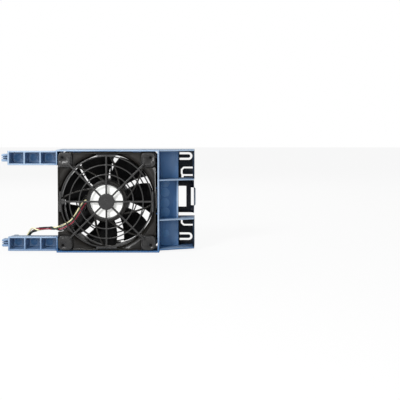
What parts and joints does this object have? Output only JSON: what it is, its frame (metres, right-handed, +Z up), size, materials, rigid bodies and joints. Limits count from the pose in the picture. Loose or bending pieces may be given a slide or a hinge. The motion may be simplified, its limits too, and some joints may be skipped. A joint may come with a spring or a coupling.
{
  "type": "server fan module",
  "caption": "Hot-swap axial fan in a plastic carrier with guide arms, finger guards, a grip end and a sprung latch handle.",
  "frame": {"origin": "middle of the module's underside, at the height of the face that it stands on", "axes": "+X from the guide arms to the grip end, +Y from the guarded front back to the rear, +Z up"},
  "size_m": [0.1844, 0.046, 0.0968],
  "materials": {
    "blue_plastic": "fine moulded grain, slight sheen on the rims",
    "cap_plastic": "fine moulded grain",
    "fan_plastic": "glass-filled, satin",
    "guard_plastic": "satin",
    "blade_plastic": "glass-filled, satin",
    "plug_plastic": "smooth",
    "steel": "ground",
    "core_steel": "stacked laminations",
    "brass": "drawn",
    "copper": "enamelled copper wire",
    "magnet": "bonded ferrite",
    "insulator": "smooth",
    "board": "solder mask",
    "chip": "moulded package",
    "label": "coated, bare",
    "wire_red": "insulation",
    "wire_black": "insulation",
    "wire_yellow": "insulation",
    "wire_green": "insulation"
  },
  "bodies": {
    "housing": {"carrier": "blue_plastic", "end_cap": "cap_plastic", "latch_pin": "steel", "latch_spring": "steel", "fan_frame": "fan_plastic", "front_guard": "guard_plastic", "rear_guard": "guard_plastic", "bearing_tube": "brass", "stator_core": "core_steel", "core_insulators": "insulator", "stator_windings": "copper", "circuit_board": "board", "board_chips": "chip", "motor_label": "label", "lead_red": "wire_red", "lead_black": "wire_black", "lead_yellow": "wire_yellow", "lead_green": "wire_green", "lead_plug": "plug_plastic", "plug_contacts": "brass", "front_bearing_outer": "steel", "rear_bearing_outer": "steel"},
    "rotor": {"impeller": "blade_plastic", "rotor_yoke": "steel", "rotor_magnet": "magnet", "shaft": "steel", "shaft_clip": "steel", "preload_washer": "steel", "front_bearing_inner": "steel", "rear_bearing_inner": "steel"},
    "front_cage": {"front_bearing_balls": "steel", "front_bearing_cage": "brass"},
    "rear_cage": {"rear_bearing_balls": "steel", "rear_bearing_cage": "brass"},
    "latch": {"latch_handle": "cap_plastic"}
  },
  "joints": [
    {"name": "rotor_spin", "type": "hinge", "parent": "housing", "child": "rotor", "pos_m": [0.00915, 0, 0.0484], "axis": [0, 1, 0], "continuous": true},
    {"name": "front_cage_spin", "type": "hinge", "parent": "housing", "child": "front_cage", "pos_m": [0.00915, 0, 0.0484], "axis": [0, 1, 0], "continuous": true},
    {"name": "rear_cage_spin", "type": "hinge", "parent": "housing", "child": "rear_cage", "pos_m": [0.00915, 0, 0.0484], "axis": [0, 1, 0], "continuous": true},
    {"name": "latch_press", "type": "hinge", "parent": "housing", "child": "latch", "pos_m": [0.06615, 0.0174, 0.05015], "axis": [0, 0, -1], "range_deg": [0, 14], "stiffness_Nm_per_rad": 0.03, "springref_deg": -17.19}
  ],
  "couplings": [
    {"joint": "front_cage_spin", "follows": "rotor_spin", "ratio": 0.3691},
    {"joint": "rear_cage_spin", "follows": "rotor_spin", "ratio": 0.3691}
  ]
}
